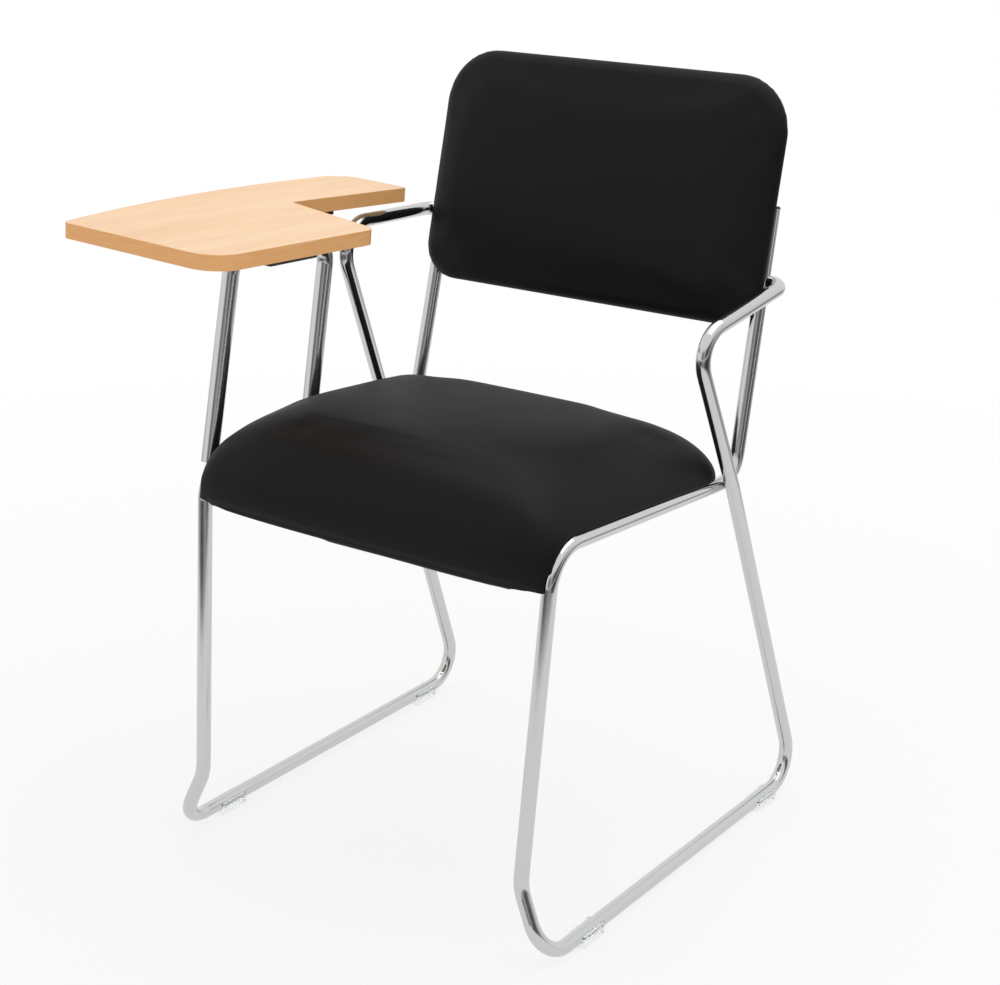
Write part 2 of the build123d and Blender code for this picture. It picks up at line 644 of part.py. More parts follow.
def cross_bolt(y):
    """Bolt across the saddle's cheeks and the upper block half."""
    out = HINGE_BLOCK_HALF + SADDLE_T
    body = cross_hole(y, out + 3, 5.0)
    centre = tablet_plane.origin + tablet_plane.y_dir * y + tablet_plane.z_dir * CROSS_BOLT_UP
    side = tablet_plane.x_dir
    head = rod(centre - side * (out + 3), centre - side * out, 9.0)
    nut = Plane(origin=centre + side * out, z_dir=side) * extrude(RegularPolygon(4.6, 6), amount=3.6)
    return body + head + nut


def buffer():
    """Rubber pad under the tablet's elbow end, over the front of the right arm."""
    return slot_disc(tablet_plane, BUFFER_X, BUFFER_Y, TABLET_ABOVE_BAR - BUFFER_T, BUFFER_T,
                     BUFFER_D)


os.makedirs("parts", exist_ok=True)

for side in SIDES:
    save("side_frame_" + side, side_frame(side))
    for end, y in GLIDE_Y.items():
        save("glide_" + end + "_" + side, glide(side, y))
save("upright_plugs", *[upright_plug(side) for side in SIDES])
for place in CROSS_TUBE_Y:
    save("seat_" + place + "_cross_tube", cross_tube(place))

low = SOFT_GAP + COVER_T
hem = SEAT_BOARD_INSET + COVER_T + HEM
opening = slab(seat_plane, (-SEAT_HALF_WIDTH + hem, SEAT_HALF_WIDTH - hem),
               (SEAT_BOARD_FRONT + HEM / 2, SEAT_REAR - hem), (SOFT_GAP - 1, SOFT_GAP + COVER_T))
seat_board = seat_board_form(0)
seat_holes = [slot_disc(seat_plane, x, y, 0, 40, BARREL_HOLE) for x, y in seat_fixing_points()]
nut_seats = [slot_disc(seat_plane, x, y, low + BOARD_T, TEE_FLANGE_T + 0.3, TEE_FLANGE_D + 0.6)
             for x, y in seat_fixing_points()]
for hole in seat_holes:
    seat_board -= hole
seat_foam = seat_form(COVER_T + 0.2) - seat_board_form(0.3)
for cut in nut_seats:
    seat_foam -= cut
for x, y in seat_fixing_points():
    seat_foam -= slot_disc(seat_plane, x, y, low, BOARD_T + 6, BOLT_HOLE)
save("seat_board", seat_board)
save("seat_foam", largest(seat_foam))
save("seat_cover", cushion_shell(seat_form, opening))
save("seat_tee_nuts", *[tee_nut(seat_plane, x, y, low, BOARD_T) for x, y in seat_fixing_points()])
save("seat_bolts", *[hex_bolt(seat_plane, x, y, -TUBE_D, low + BOARD_T + 3)
                     for x, y in seat_fixing_points()])

rear = BACK_REAR + COVER_T
back_board = back_board_form(0)
back_foam = back_form(COVER_T + 0.2) - back_board_form(0.3)
back_opening = Location((0, 0, BACK_REAR - 1)) * extrude(
    offset(back_outline(0), -(BACK_BOARD_INSET + BACK_HEM)), amount=COVER_T + 1)
back_opening = back_plane * back_opening
for x, y in back_fixing_points():
    back_board -= slot_disc(back_plane, x, y, 0, 60, BARREL_HOLE)
    back_foam -= slot_disc(back_plane, x, y, rear, BACK_BOARD_T + 4, BOLT_HOLE)
    back_foam -= slot_disc(back_plane, x, y, rear + BACK_BOARD_T, TEE_FLANGE_T + 0.3,
                           TEE_FLANGE_D + 0.6)
back_cover = cushion_shell(back_form, back_opening)
for x, y in back_fixing_points():
    back_cover -= slot_disc(back_plane, x, y, BACK_REAR - 1, COVER_T + 1, BOLT_HOLE)
save("back_board", back_board)
save("back_foam", largest(back_foam))
save("back_cover", back_cover)
save("back_tee_nuts", *[tee_nut(back_plane, x, y, rear, BACK_BOARD_T)
                        for x, y in back_fixing_points()])
save("back_bolts", *[hex_bolt(back_plane, x, y, BACK_REAR - SOFT_GAP - TAB_T, rear + BACK_BOARD_T)
                     for x, y in back_fixing_points()])

pin = rod(hinge_middle(), hinge_middle() + pin_direction() * (POST_R + STOP_PIN_OUT), STOP_PIN_D)
pin_hole = rod(hinge_middle(), hinge_middle() + pin_direction() * POST_D, STOP_PIN_D + FIT)
loop = loop_rod(POST_D) - loop_rod(POST_D - 2 * TUBE_WALL) - pin_hole
save("tablet_loop", loop)
save("hinge_stop_pin", pin)
board = tablet_slab(EDGE_BAND_T)
for x, y in tablet_screw_points():
    board -= slot_disc(tablet_plane, x, y, TABLET_ABOVE_BAR - 1, SCREW_LENGTH, SCREW_D + FIT)
save("tablet_board", board)
save("tablet_edge_band", tablet_slab(0) - tablet_slab(EDGE_BAND_T))
save("tablet_hinge_saddle", hinge_saddle())
upper = hinge_half(True)
for y in (HINGE_FRONT + 18, HINGE_REAR - 18):
    upper -= cross_hole(y, 40, 5.2)
save("hinge_block_upper", upper)
save("hinge_block_lower", hinge_half(False))
save("hinge_clamp_screws", *[clamp_screw(x, y) for x, y in clamp_points()])
save("hinge_cross_bolts", *[cross_bolt(y) for y in (HINGE_FRONT + 18, HINGE_REAR - 18)])
save("tablet_screws", *[tablet_screw(x, y) for x, y in tablet_screw_points()])
save("tablet_buffer", buffer())
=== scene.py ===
import math
import bmesh
import bpy
import numpy as np
from mathutils import Matrix, Vector


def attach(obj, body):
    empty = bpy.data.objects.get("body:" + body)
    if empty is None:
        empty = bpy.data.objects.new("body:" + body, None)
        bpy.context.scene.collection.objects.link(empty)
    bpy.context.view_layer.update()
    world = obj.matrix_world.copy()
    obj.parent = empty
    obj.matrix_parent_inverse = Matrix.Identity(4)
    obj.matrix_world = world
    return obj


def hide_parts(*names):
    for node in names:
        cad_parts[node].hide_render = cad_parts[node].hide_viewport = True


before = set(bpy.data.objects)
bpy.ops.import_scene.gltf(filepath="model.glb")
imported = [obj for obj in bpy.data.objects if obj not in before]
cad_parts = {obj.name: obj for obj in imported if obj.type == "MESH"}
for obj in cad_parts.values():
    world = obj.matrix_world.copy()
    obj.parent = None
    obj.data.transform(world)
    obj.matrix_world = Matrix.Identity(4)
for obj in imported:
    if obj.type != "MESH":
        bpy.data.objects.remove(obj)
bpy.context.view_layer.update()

# Tube frame. Two bent lengths of chromed steel tube make each side, with two straight tubes
# between them and a bent loop for the tablet. Bent cold, welded, polished and bright plated:
# a mirror finish with a faint haze where the tube was drawn through the bender.
TUBES = ("side_frame_left", "side_frame_right", "seat_front_cross_tube",
         "seat_rear_cross_tube", "tablet_loop")


def srgb(text):
    """Linear colour of an sRGB hex value."""
    parts = [int(text[i:i + 2], 16) / 255 for i in (0, 2, 4)]
    return tuple(c / 12.92 if c <= 0.04045 else ((c + 0.055) / 1.055) ** 2.4 for c in parts) + (1.0,)


def add(tree, kind, inputs=None, **settings):
    """Add a node with its settings and its links or input values."""
    node = tree.nodes.new(kind)
    for name, value in settings.items():
        setattr(node, name, value)
    for name, value in (inputs or {}).items():
        if isinstance(value, bpy.types.NodeSocket):
            tree.links.new(value, node.inputs[name])
        else:
            node.inputs[name].default_value = value
    return node


def new_material(name):
    """Empty node material and its node tree."""
    material = bpy.data.materials.new(name)
    material.use_nodes = True
    material.node_tree.nodes.clear()
    return material, material.node_tree


def finish_material(tree, shader):
    """Join the last shader to the material's surface."""
    add(tree, "ShaderNodeOutputMaterial", {"Surface": shader.outputs[0]})


def dress(node_names, material):
    """Give carried CAD nodes their real finish."""
    for name in node_names:
        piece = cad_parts[name]
        piece.data.materials.clear()
        piece.data.materials.append(material)


CHROME_HAZE = 60.0               # per metre, so patches about 17 mm across
chrome, tree = new_material("bright_chrome_plate")
place = add(tree, "ShaderNodeTexCoord")
haze = add(tree, "ShaderNodeTexNoise", {
    "Vector": place.outputs["Object"], "Scale": CHROME_HAZE, "Detail": 3.0})
haze_amount = add(tree, "ShaderNodeMapRange", {
    "Value": haze.outputs["Fac"], "To Min": 0.09, "To Max": 0.16})
finish_material(tree, add(tree, "ShaderNodeBsdfPrincipled", {
    "Base Color": srgb("CACBCC"), "Metallic": 1.0, "Roughness": haze_amount.outputs[0]}))
dress(TUBES, chrome)

# Glides. Clear plastic saddles clip under the runners, each with a stud into the tube.
# Injection moulded and left natural, so the edges look a little milky.
clear, tree = new_material("clear_polycarbonate_moulding")
finish_material(tree, add(tree, "ShaderNodeBsdfPrincipled", {
    "Base Color": srgb("F8FAFB"), "Roughness": 0.18, "IOR": 1.58, "Transmission Weight": 0.92}))
dress([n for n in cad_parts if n.startswith("glide_")], clear)

# Hinge under the tablet. A pressed-steel saddle, black powder coated, holds a two-part nylon
# block that is screwed round the loop's top bar and grips it. The powder coat has a fine orange peel.
ORANGE_PEEL = 900.0              # per metre, so dimples about 1.1 mm across
powder, tree = new_material("black_powder_coated_steel")
place = add(tree, "ShaderNodeTexCoord")
peel = add(tree, "ShaderNodeTexNoise", {"Vector": place.outputs["Object"], "Scale": ORANGE_PEEL})
peel_bump = add(tree, "ShaderNodeBump", {
    "Height": peel.outputs["Fac"], "Strength": 0.15, "Distance": 0.0002})
finish_material(tree, add(tree, "ShaderNodeBsdfPrincipled", {
    "Base Color": srgb("1A1A1B"), "Roughness": 0.45, "Normal": peel_bump.outputs[0]}))
dress(["tablet_hinge_saddle"], powder)

# Nylon of the hinge block and the tube plugs. The mould was spark eroded, which leaves it matt.
SPARK_FINISH = 1400.0            # per metre, 0.7 mm across: drawn coarser than the real finish
nylon, tree = new_material("black_moulded_nylon")
place = add(tree, "ShaderNodeTexCoord")
spark = add(tree, "ShaderNodeTexNoise", {"Vector": place.outputs["Object"], "Scale": SPARK_FINISH})
spark_bump = add(tree, "ShaderNodeBump", {
    "Height": spark.outputs["Fac"], "Strength": 0.2, "Distance": 0.0001})
finish_material(tree, add(tree, "ShaderNodeBsdfPrincipled", {
    "Base Color": srgb("202021"), "Roughness": 0.55, "Normal": spark_bump.outputs[0]}))
dress(["hinge_block_upper", "hinge_block_lower", "upright_plugs"], nylon)

# Zinc plate on every bolt, screw, tee nut and pin, dull and faintly patched.
ZINC_PATCH = 500.0               # per metre, so patches 2 mm across
zinc, tree = new_material("zinc_plated_steel")
place = add(tree, "ShaderNodeTexCoord")
patches = add(tree, "ShaderNodeTexNoise", {"Vector": place.outputs["Object"], "Scale": ZINC_PATCH})
dull = add(tree, "ShaderNodeMapRange", {"Value": patches.outputs["Fac"], "To Min": 0.28, "To Max": 0.42})
finish_material(tree, add(tree, "ShaderNodeBsdfPrincipled", {
    "Base Color": srgb("B9BCC0"), "Metallic": 1.0, "Roughness": dull.outputs[0]}))
dress([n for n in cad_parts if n.endswith(("bolts", "screws", "nuts", "pin"))], zinc)

# Rubber of the buffer that the tablet's elbow end rests on.
RUBBER_MOTTLE = 700.0            # per metre, 1.4 mm across: drawn coarser than the real skin
rubber, tree = new_material("black_rubber")
place = add(tree, "ShaderNodeTexCoord")
mottle = add(tree, "ShaderNodeTexNoise", {"Vector": place.outputs["Object"], "Scale": RUBBER_MOTTLE})
mottle_bump = add(tree, "ShaderNodeBump", {
    "Height": mottle.outputs["Fac"], "Strength": 0.2, "Distance": 0.0001})
finish_material(tree, add(tree, "ShaderNodeBsdfPrincipled", {
    "Base Color": srgb("1B1B1B"), "Roughness": 0.8, "Normal": mottle_bump.outputs[0]}))
dress(["tablet_buffer"], rubber)

# Tablet. A 16 mm board faced with beech-look melamine, its edge closed by a darker strip.
# The print is pale peach with fine straight grain along the board and small flecks.
BEECH_GRAIN = 220.0              # per metre across the board, so streaks about 4.5 mm wide
BEECH_BROAD = 28.0               # broad bands, about 36 mm wide
GRAIN_STRETCH = 0.06             # streaks are about 17 times as long as wide
laminate, tree = new_material("beech_melamine_laminate")
place = add(tree, "ShaderNodeTexCoord")
along_grain = add(tree, "ShaderNodeMapping", {
    "Vector": place.outputs["Object"], "Scale": (1.0, GRAIN_STRETCH, 1.0)})
grain = add(tree, "ShaderNodeTexNoise", {
    "Vector": along_grain.outputs[0], "Scale": BEECH_GRAIN, "Detail": 6.0, "Roughness": 0.6})
broad = add(tree, "ShaderNodeTexNoise", {
    "Vector": along_grain.outputs[0], "Scale": BEECH_BROAD, "Detail": 2.0})
mixed = add(tree, "ShaderNodeMath", {
    0: grain.outputs["Fac"], 1: broad.outputs["Fac"]}, operation="MULTIPLY")
tone = add(tree, "ShaderNodeMapRange", {"Value": mixed.outputs[0], "From Min": 0.12, "From Max": 0.42})
beech = add(tree, "ShaderNodeValToRGB", {"Fac": tone.outputs[0]})
beech.color_ramp.elements[0].color = srgb("F3C290")
beech.color_ramp.elements[1].color = srgb("FBD6A9")
finish_material(tree, add(tree, "ShaderNodeBsdfPrincipled", {
    "Base Color": beech.outputs["Color"], "Roughness": 0.38}))
dress(["tablet_board"], laminate)

# The strip is printed plastic, glued on hot, with its grain running round the edge.
STRIP_GRAIN = 90.0               # per metre, stretched to streaks 2 mm high and 37 mm long
STRIP_STRETCH = (0.3, 0.3, 6.0)
edge_strip, tree = new_material("beech_print_abs_edging")
place = add(tree, "ShaderNodeTexCoord")
strip_grain = add(tree, "ShaderNodeMapping", {"Vector": place.outputs["Object"], "Scale": STRIP_STRETCH})
strip_noise = add(tree, "ShaderNodeTexNoise", {
    "Vector": strip_grain.outputs[0], "Scale": STRIP_GRAIN, "Detail": 5.0})
strip = add(tree, "ShaderNodeValToRGB", {"Fac": strip_noise.outputs["Fac"]})
strip.color_ramp.elements[0].color = srgb("F0A860")
strip.color_ramp.elements[1].color = srgb("FFC88A")
finish_material(tree, add(tree, "ShaderNodeBsdfPrincipled", {
    "Base Color": strip.outputs["Color"], "Roughness": 0.4}))
dress(["tablet_edge_band"], edge_strip)

# Boards and foam inside the pads. The seat's raw birch plywood shows from below, in the hem's
# frame. The yellow moulded foam glued to the boards is hidden by the covers.
PLY_FIGURE = 60.0                # per metre, so bands of figure about 17 mm apart
plywood, tree = new_material("birch_plywood")
place = add(tree, "ShaderNodeTexCoord")
figure = add(tree, "ShaderNodeTexWave", {
    "Vector": place.outputs["Object"], "Scale": PLY_FIGURE, "Distortion": 4.0})
ply_tone = add(tree, "ShaderNodeValToRGB", {"Fac": figure.outputs["Fac"]})
ply_tone.color_ramp.elements[0].color = srgb("B88F5E")
ply_tone.color_ramp.elements[1].color = srgb("D3B183")
finish_material(tree, add(tree, "ShaderNodeBsdfPrincipled", {
    "Base Color": ply_tone.outputs["Color"], "Roughness": 0.7}))
dress(["seat_board", "back_board"], plywood)

FOAM_CELLS = 900.0               # per metre, so cells about 1.1 mm across
foam, tree = new_material("moulded_polyurethane_foam")
place = add(tree, "ShaderNodeTexCoord")
cells = add(tree, "ShaderNodeTexVoronoi", {"Vector": place.outputs["Object"], "Scale": FOAM_CELLS})
cell_bump = add(tree, "ShaderNodeBump", {
    "Height": cells.outputs["Distance"], "Strength": 0.5, "Distance": 0.0004})
finish_material(tree, add(tree, "ShaderNodeBsdfPrincipled", {
    "Base Color": srgb("D8C88A"), "Roughness": 0.9, "Normal": cell_bump.outputs[0]}))
dress(["seat_foam", "back_foam"], foam)

# Seat pad. A plywood base with moulded foam on top, wrapped in black leatherette that is pulled
# down at the sides and over a rolled front edge, then stapled underneath. The pull rounds the
# foam into a crown, full in the middle and thin at the edges, with the low sheen of coated cloth.
CHAIR_X = 0.0347                 # the chair's middle in the frame
CHAIR_Y = 0.059
RAIL_LONG = 0.359
RAIL_SLOPE = math.atan(0.0277 / RAIL_LONG)
RAIL_MIDDLE = 0.41887            # rails' centre line at the chair's middle
TUBE_HALF = 0.008
ON_RAILS = (Matrix.Translation((CHAIR_X, CHAIR_Y, RAIL_MIDDLE)) @ Matrix.Rotation(-RAIL_SLOPE, 4, "X")
            @ Matrix.Translation((0, 0, TUBE_HALF)))
SEAT_HALF = 0.2303
SEAT_REAR = 0.1050
SEAT_CORNER = 0.044              # rounding of the rear corners, seen from above
SEAT_CROWN = 0.0620
SEAT_REAR_FALL = 0.0726          # how far in from the rear edge the crown begins to fall
SEAT_REAR_UNDER = 0.004
SEAT_WALL = 0.0064               # upright part of the sides, below the crown
SEAT_SQUARE = 2 / 5.9            # powers of the cross-section's curve: across, over and under
SEAT_DOME = 2 / 1.85
SEAT_FLAT = 2 / 8.0
SEAT_FRONT = -0.2535
SEAT_APRON = -0.0562             # lower edge of the rolled front
SEAT_FOOT = 0.007                # roundings of that edge outside and inside, and of its corners
SEAT_FOOT_UNDER = 0.005
SEAT_FOOT_CORNER = 0.009
SEAT_APRON_LIFT = 0.005          # how much higher that edge is at its corners
SEAT_APRON_SKEW = 0.0020         # and at the tablet side, where the cover was pulled harder
SEAT_ROLL = -0.0747              # where the top begins to fall to the front
SEAT_ROLL_LOW = -0.0126
SEAT_ROLL_FULL = 0.81            # how full the roll is
SEAT_LIP = -0.0035               # side edges hang a little below the rails' top
SEAT_UNDER = 0.0022              # foam's underside, just inside the board
SEAT_ENDS = (0.0004, 0.0003)     # first and last sections lie this far in, so they have a size
TOP_STEPS = 40
ROLL_STEPS = 36
APRON_STEPS = 12
RAIL_X = 0.2275                  # rails' centre lines at their front bends
RAIL_TAPER = 0.0055 / RAIL_LONG
RAIL_BEND = 0.042
BEND_Y = -0.1958                 # centre of the rails' front bends
BEND_Z = -0.0500
TUBE_ROLL = 0.0465               # the pad's inner bend, sunk a little over the tubes
TUBE_BED = 0.0084
UNDERSIDE = 0.004                # points below this, inside the rails, belong to the underside
UNDERSIDE_BLEND = 0.008
HELD_UNDER = 0.0015              # the cover is fixed below this height, this near the front bends,
HELD_AT_BEND = 0.003             # and this far up from the apron's lower edge
HELD_AT_FOOT = 0.006
VOXEL = 0.005
PRESSURE = 4.0
SIM_FRAMES = 20


def rounding(distance, radius):
    """Share of full width or height at a distance in from a rounded edge."""
    return 1.0 if distance >= radius else math.sqrt(1 - (1 - distance / radius) ** 2)


def handle_curve(points, t):
    """Point of a curve given by its ends and two handles."""
    weights = ((1 - t) ** 3, 3 * (1 - t) ** 2 * t, 3 * (1 - t) * t * t, t ** 3)
    return Vector([sum(w * p[axis] for w, p in zip(weights, points)) for axis in (0, 1)])


def seat_profile():
    """Pairs of outer and inner points (along the rails, above them) from rear to apron."""
    pairs = [(Vector((y, SEAT_CROWN)), Vector((y, SEAT_LIP)))
             for y in [SEAT_REAR - SEAT_ENDS[0] + (SEAT_ROLL - SEAT_REAR) * i / TOP_STEPS
                       for i in range(TOP_STEPS)]]
    drop = (SEAT_CROWN - SEAT_ROLL_LOW) * SEAT_ROLL_FULL
    reach = (SEAT_ROLL - SEAT_FRONT) * SEAT_ROLL_FULL
    roll = ((SEAT_ROLL, SEAT_CROWN), (SEAT_ROLL - reach, SEAT_CROWN),
            (SEAT_FRONT, SEAT_ROLL_LOW + drop), (SEAT_FRONT, SEAT_ROLL_LOW))
    flat = SEAT_ROLL - BEND_Y
    whole = flat + TUBE_ROLL * math.pi / 2
    for i in range(ROLL_STEPS):
        travelled = whole * i / ROLL_STEPS
        if travelled < flat:
            inner = Vector((SEAT_ROLL - travelled, SEAT_LIP))
        else:
            turn = (travelled - flat) / TUBE_ROLL
            inner = Vector((BEND_Y - TUBE_ROLL * math.sin(turn), BEND_Z + TUBE_ROLL * math.cos(turn)))
        pairs.append((handle_curve(roll, i / ROLL_STEPS), inner))
    low = SEAT_APRON + SEAT_ENDS[1]
    for i in range(APRON_STEPS + 1):
        pairs.append((Vector((SEAT_FRONT, SEAT_ROLL_LOW + (low - SEAT_ROLL_LOW) * i / APRON_STEPS)),
                      Vector((BEND_Y - TUBE_ROLL, BEND_Z + (low - BEND_Z) * i / APRON_STEPS))))
    return pairs


def seat_rings(count=72):
    """Cross-sections of the seat pad, from its rear edge to the apron's lower edge."""
    pairs = seat_profile()
    run = [0.0]
    for (before, _), (after, _) in zip(pairs, pairs[1:]):
        run.append(run[-1] + (after - before).length)
    rings = []
    for (outer, inner), here in zip(pairs, run):
        left = run[-1] - here + SEAT_ENDS[1]
        here += SEAT_ENDS[1]
        up = rounding(here, SEAT_REAR_FALL) * rounding(left, SEAT_FOOT)
        down = rounding(here, SEAT_REAR_UNDER) * rounding(left, SEAT_FOOT_UNDER)
        half = (SEAT_HALF - SEAT_CORNER * (1 - rounding(here, SEAT_CORNER))
                - SEAT_FOOT_CORNER * (1 - rounding(left, SEAT_FOOT_CORNER)))
        base = inner.lerp(outer, SEAT_WALL / SEAT_CROWN)
        ring = []
        for i in range(count):
            angle = 2 * math.pi * i / count
            across = math.copysign(abs(math.cos(angle)) ** SEAT_SQUARE, math.cos(angle))
            rise = math.sin(angle)
            if rise > 0:
                point = base + (outer - base) * up * rise ** SEAT_DOME
            else:
                point = base + (inner - base) * down * abs(rise) ** SEAT_FLAT
            lift = (SEAT_APRON_LIFT * abs(across) ** 4 - SEAT_APRON_SKEW * across) \
                * min(max(point.y / SEAT_APRON, 0), 1) ** 2
            ring.append(Vector((half * across, point.x, point.y + lift)))
        rings.append(ring)
    return rings


def closed_skin(name, rings):
    """Closed mesh through rings of points, its two ends filled."""
    mesh = bpy.data.meshes.new(name)
    form = bmesh.new()
    rows = [[form.verts.new(point) for point in ring] for ring in rings]
    for low, high in zip(rows, rows[1:]):
        for i in range(len(low)):
            j = (i + 1) % len(low)
            form.faces.new((low[i], low[j], high[j], high[i]))
    form.faces.new(rows[0][::-1])
    form.faces.new(rows[-1])
    bmesh.ops.recalc_face_normals(form, faces=form.faces)
    form.to_mesh(mesh)
    form.free()
    piece = bpy.data.objects.new(name, mesh)
    bpy.context.scene.collection.objects.link(piece)
    return piece


def bake(piece):
    """Apply a piece's modifiers to its mesh."""
    bpy.context.view_layer.update()
    shaped = piece.evaluated_get(bpy.context.evaluated_depsgraph_get())
    mesh = bpy.data.meshes.new_from_object(shaped)
    piece.modifiers.clear()
    piece.data = mesh


def stuff(piece, stapled, limit, evening):
    """Swell a pad as foam under a stretched cover does.

    Points that stapled() names stay put. The swelling is held to limit, and each of the evening
    rounds moves it half way to the mean of its neighbours' swelling.
    """
    even = piece.modifiers.new("even_skin", "REMESH")
    even.mode = "VOXEL"
    even.voxel_size = VOXEL
    bake(piece)
    rest = np.array([v.co for v in piece.data.vertices])
    held = piece.vertex_groups.new(name="stapled")
    held.add([i for i, co in enumerate(rest) if stapled(Vector(co))], 1.0, "REPLACE")
    cover = piece.modifiers.new("stretched_cover", "CLOTH")
    cover.settings.use_pressure = True
    cover.settings.uniform_pressure_force = PRESSURE
    cover.settings.effector_weights.gravity = 0.0
    cover.settings.vertex_group_mass = held.name
    for frame_number in range(1, SIM_FRAMES + 1):
        bpy.context.scene.frame_set(frame_number)
    bake(piece)
    move = np.array([v.co for v in piece.data.vertices]) - rest
    length = np.linalg.norm(move, axis=1)
    move *= np.minimum(1, limit / np.maximum(length, 1e-9))[:, None]
    ends = np.array([e.vertices[:] for e in piece.data.edges])
    count = np.bincount(ends.ravel(), minlength=len(rest))[:, None]
    for _ in range(evening):
        total = np.zeros_like(move)
        np.add.at(total, ends[:, 0], move[ends[:, 1]])
        np.add.at(total, ends[:, 1], move[ends[:, 0]])
        move = (move + total / count) / 2
    piece.data.vertices.foreach_set("co", (rest + move).ravel())
    piece.vertex_groups.clear()
    finer = piece.modifiers.new("fine_skin", "SUBSURF")
    finer.levels = 1
    bake(piece)
    for face in piece.data.polygons:
        face.use_smooth = True


def seat_stapled(co):
    """Whether a point of the seat pad is where its cover is fixed."""
    rolled = co.y < BEND_Y and math.hypot(co.y - BEND_Y, co.z - BEND_Z) < TUBE_ROLL + HELD_AT_BEND
    inner = co.z < BEND_Z and co.y > BEND_Y - TUBE_ROLL - HELD_AT_BEND
    under = co.y > BEND_Y and co.z < HELD_UNDER
    return under or rolled or inner or co.z < SEAT_APRON + HELD_AT_FOOT


def bed_on_rails(co):
    """Move a point of the seat pad out of the rails, and its underside up into the board."""
    side = math.copysign(1, co.x)
    rail = RAIL_X - max(co.y - BEND_Y, 0) * RAIL_TAPER
    if co.y > BEND_Y:
        if co.z < UNDERSIDE:
            share = min(max((rail - TUBE_HALF - abs(co.x)) / UNDERSIDE_BLEND, 0), 1)
            co.z = co.z + (SEAT_UNDER - co.z) * share * share * (3 - 2 * share)
        off = Vector((abs(co.x) - rail, co.z + TUBE_HALF))
        if 0 < off.length < TUBE_BED:
            off = off.normalized() * TUBE_BED
            co.x = side * (rail + off.x)
            co.z = off.y - TUBE_HALF
    else:
        out = Vector((co.y - BEND_Y, max(co.z - BEND_Z, 0)))
        off = Vector((abs(co.x) - rail, out.length - RAIL_BEND))
        if 0 < off.length < TUBE_BED:
            off = off.normalized() * TUBE_BED
            co.x = side * (rail + off.x)
            moved = out.normalized() * (RAIL_BEND + off.y)
            co.y = BEND_Y + moved.x
            if co.z > BEND_Z:
                co.z = BEND_Z + moved.y
    return co


LEATHER_PEBBLE = 750.0           # per metre, 1.3 mm across: drawn coarser than the real grain
LEATHER_WEAR = 14.0              # per metre, so patches of sheen about 70 mm across
leather, tree = new_material("black_leatherette")
place = add(tree, "ShaderNodeTexCoord")
hide = add(tree, "ShaderNodeTexVoronoi", {
    "Vector": place.outputs["Object"], "Scale": LEATHER_PEBBLE}, feature="DISTANCE_TO_EDGE")
pebble = add(tree, "ShaderNodeMapRange", {"Value": hide.outputs["Distance"], "From Max": 0.25})
hide_bump = add(tree, "ShaderNodeBump", {"Height": pebble.outputs[0], "Strength": 0.12, "Distance": 0.0002})
worn = add(tree, "ShaderNodeTexNoise", {
    "Vector": place.outputs["Object"], "Scale": LEATHER_WEAR, "Detail": 3.0})
sheen = add(tree, "ShaderNodeMapRange", {"Value": worn.outputs["Fac"], "To Min": 0.52, "To Max": 0.60})
finish_material(tree, add(tree, "ShaderNodeBsdfPrincipled", {
    "Base Color": srgb("0C0C0D"), "Roughness": sheen.outputs[0], "Specular IOR Level": 0.18,
    "Normal": hide_bump.outputs[0]}))

TACK_LINE = 0.0095               # the cover's turned edge shows as a crease above the apron's foot
TACK_DEEP = 0.0014
TACK_WIDE = 0.0025
TACK_HALF = 0.215
TACK_REACH = 0.012               # only the skin this near the apron's face is creased
seat = closed_skin("seat_pad", seat_rings())
stuff(seat, seat_stapled, 0.004, 16)
for vertex in seat.data.vertices:
    vertex.co = bed_on_rails(vertex.co.copy())
    if vertex.co.y < SEAT_FRONT + TACK_REACH and abs(vertex.co.x) < TACK_HALF:
        foot = SEAT_APRON - SEAT_APRON_SKEW * vertex.co.x / SEAT_HALF
        from_tack = (vertex.co.z - foot - TACK_LINE) / TACK_WIDE
        vertex.co.y += TACK_DEEP * math.exp(-from_tack * from_tack)
seat.data.transform(ON_RAILS)
seat.data.materials.append(leather)
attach(seat, "chair_frame")
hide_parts("seat_cover", "seat_foam")

# Cover's hem under the seat. The leatherette comes down over the board's edge, turns in under it
# and is held by zinc staples driven up into the plywood every 35 mm or so.
HEM_OUT = 0.011                  # the strip runs between these distances in from the pad's edge
HEM_IN = 0.028
HEM_LOW = 0.00035
HEM_STEPS = 12
COVER_T = 0.0012
HEM_FRONT = -0.190


def hem_rings():
    """Flat sections of the hem from the left front round the rear to the right front."""
    straight = SEAT_REAR - SEAT_CORNER - HEM_FRONT
    stations = [(SEAT_HALF, HEM_FRONT + straight * i / HEM_STEPS, 0.0) for i in range(HEM_STEPS)]
    for i in range(HEM_STEPS + 1):
        turn = math.pi / 2 * i / HEM_STEPS
        stations.append((SEAT_HALF - SEAT_CORNER + SEAT_CORNER * math.cos(turn),
                         SEAT_REAR - SEAT_CORNER + SEAT_CORNER * math.sin(turn), turn))
    stations += [(-x, y, math.pi - turn) for x, y, turn in stations[::-1]]
    profile = ((HEM_OUT, HEM_LOW + COVER_T), (HEM_OUT, HEM_LOW),
               (HEM_IN, HEM_LOW), (HEM_IN, HEM_LOW + COVER_T))
    return [[Vector((x - inward * math.cos(turn), y - inward * math.sin(turn), z))
             for inward, z in profile] for x, y, turn in stations]


hem_path = hem_rings()
hem = closed_skin("seat_cover_hem", hem_path)
hem.data.transform(ON_RAILS)
hem.data.materials.append(leather)
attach(hem, "chair_frame")

